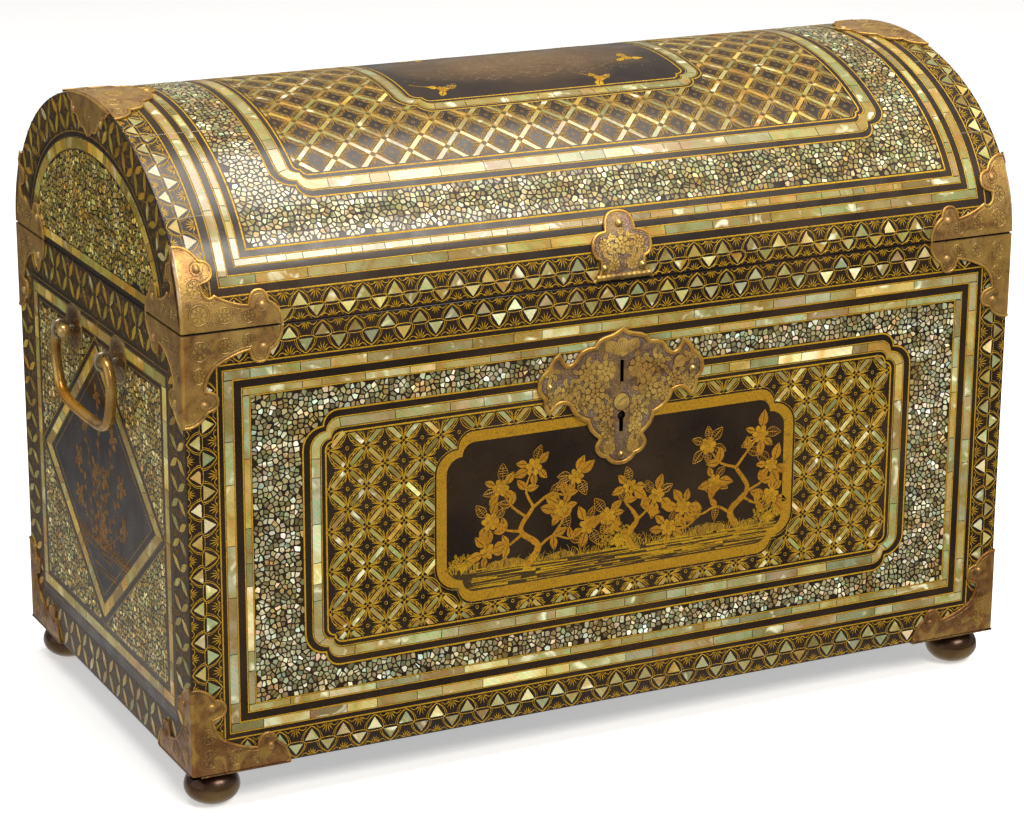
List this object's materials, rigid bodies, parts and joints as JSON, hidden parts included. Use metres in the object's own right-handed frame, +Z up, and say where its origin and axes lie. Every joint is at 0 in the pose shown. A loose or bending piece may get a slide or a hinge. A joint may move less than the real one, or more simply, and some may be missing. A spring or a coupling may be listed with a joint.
{
  "type": "domed lacquer chest",
  "caption": "Dome-lidded lacquered wooden chest on bun feet, with shell and gold inlay, lobed corner mounts, a lock plate and swinging side bails.",
  "frame": {"origin": "on the floor, under the middle of the chest's outermost faces", "axes": "+X to the right seen from the lock side, the lock faces -Y, +Z up"},
  "size_m": [0.6972, 0.3654, 0.4765],
  "materials": {
    "lacquer": "polished brown-black lacquer over wood",
    "gilt_copper": "worn gilt copper, chased",
    "bronze": "polished bronze with dark patina",
    "iron": "forged, dark",
    "shell": "mother-of-pearl, iridescent",
    "gold": "gold powder in lacquer, satin",
    "lining": "plain red-brown lacquer"
  },
  "bodies": {
    "chest": {"base_board": "lacquer", "front_board": "lacquer", "back_board": "lacquer", "left_board": "lacquer", "right_board": "lacquer", "foot_front_left": "bronze", "foot_front_right": "bronze", "foot_back_left": "bronze", "foot_back_right": "bronze", "mount_upper_front_left": "gilt_copper", "mount_upper_front_right": "gilt_copper", "mount_upper_back_left": "gilt_copper", "mount_upper_back_right": "gilt_copper", "mount_lower_front_left": "gilt_copper", "mount_lower_front_right": "gilt_copper", "mount_lower_back_left": "gilt_copper", "mount_lower_back_right": "gilt_copper", "lock_plate": "gilt_copper", "lock_nail_left": "gilt_copper", "lock_nail_right": "gilt_copper", "lock_nail_bottom": "gilt_copper", "lock_case": "iron", "key_post": "iron", "handle_left_eye_front": "bronze", "handle_left_eye_back": "bronze", "handle_left_rosette_front": "bronze", "handle_left_rosette_back": "bronze", "handle_right_eye_front": "bronze", "handle_right_eye_back": "bronze", "handle_right_rosette_front": "bronze", "handle_right_rosette_back": "bronze", "hinge_left_body_leaf": "gilt_copper", "hinge_left_pin": "gilt_copper", "hinge_right_body_leaf": "gilt_copper", "hinge_right_pin": "gilt_copper"},
    "lid": {"lid_stave_1": "lacquer", "lid_stave_2": "lacquer", "lid_stave_3": "lacquer", "lid_stave_4": "lacquer", "lid_stave_5": "lacquer", "lid_stave_6": "lacquer", "lid_end_left": "lacquer", "lid_end_right": "lacquer", "mount_lid_front_left": "gilt_copper", "mount_lid_front_right": "gilt_copper", "mount_lid_back_left": "gilt_copper", "mount_lid_back_right": "gilt_copper", "mount_ridge_left": "gilt_copper", "mount_ridge_right": "gilt_copper", "hasp_plate": "gilt_copper", "hasp_nail_top": "gilt_copper", "hasp_nail_left": "gilt_copper", "hasp_nail_right": "gilt_copper", "hinge_left_lid_leaf": "gilt_copper", "hinge_right_lid_leaf": "gilt_copper"},
    "handle_left": {"handle_left_bail": "bronze"},
    "handle_right": {"handle_right_bail": "bronze"},
    "lock_bolt": {"lock_bolt": "iron"}
  },
  "joints": [
    {"name": "lid_hinge", "type": "hinge", "parent": "chest", "child": "lid", "pos_m": [0, 0.17663, 0.3463], "axis": [-1, 0, 0], "range_deg": [0, 100]},
    {"name": "handle_left_swing", "type": "hinge", "parent": "chest", "child": "handle_left", "pos_m": [-0.341, -0.00297, 0.296], "axis": [0, 1, 0], "range_deg": [-6, 180]},
    {"name": "handle_right_swing", "type": "hinge", "parent": "chest", "child": "handle_right", "pos_m": [0.341, -0.00297, 0.296], "axis": [0, -1, 0], "range_deg": [-6, 180]},
    {"name": "lock_bolt_slide", "type": "slide", "parent": "chest", "child": "lock_bolt", "axis": [1, 0, 0], "range_m": [0, 0.01]}
  ]
}
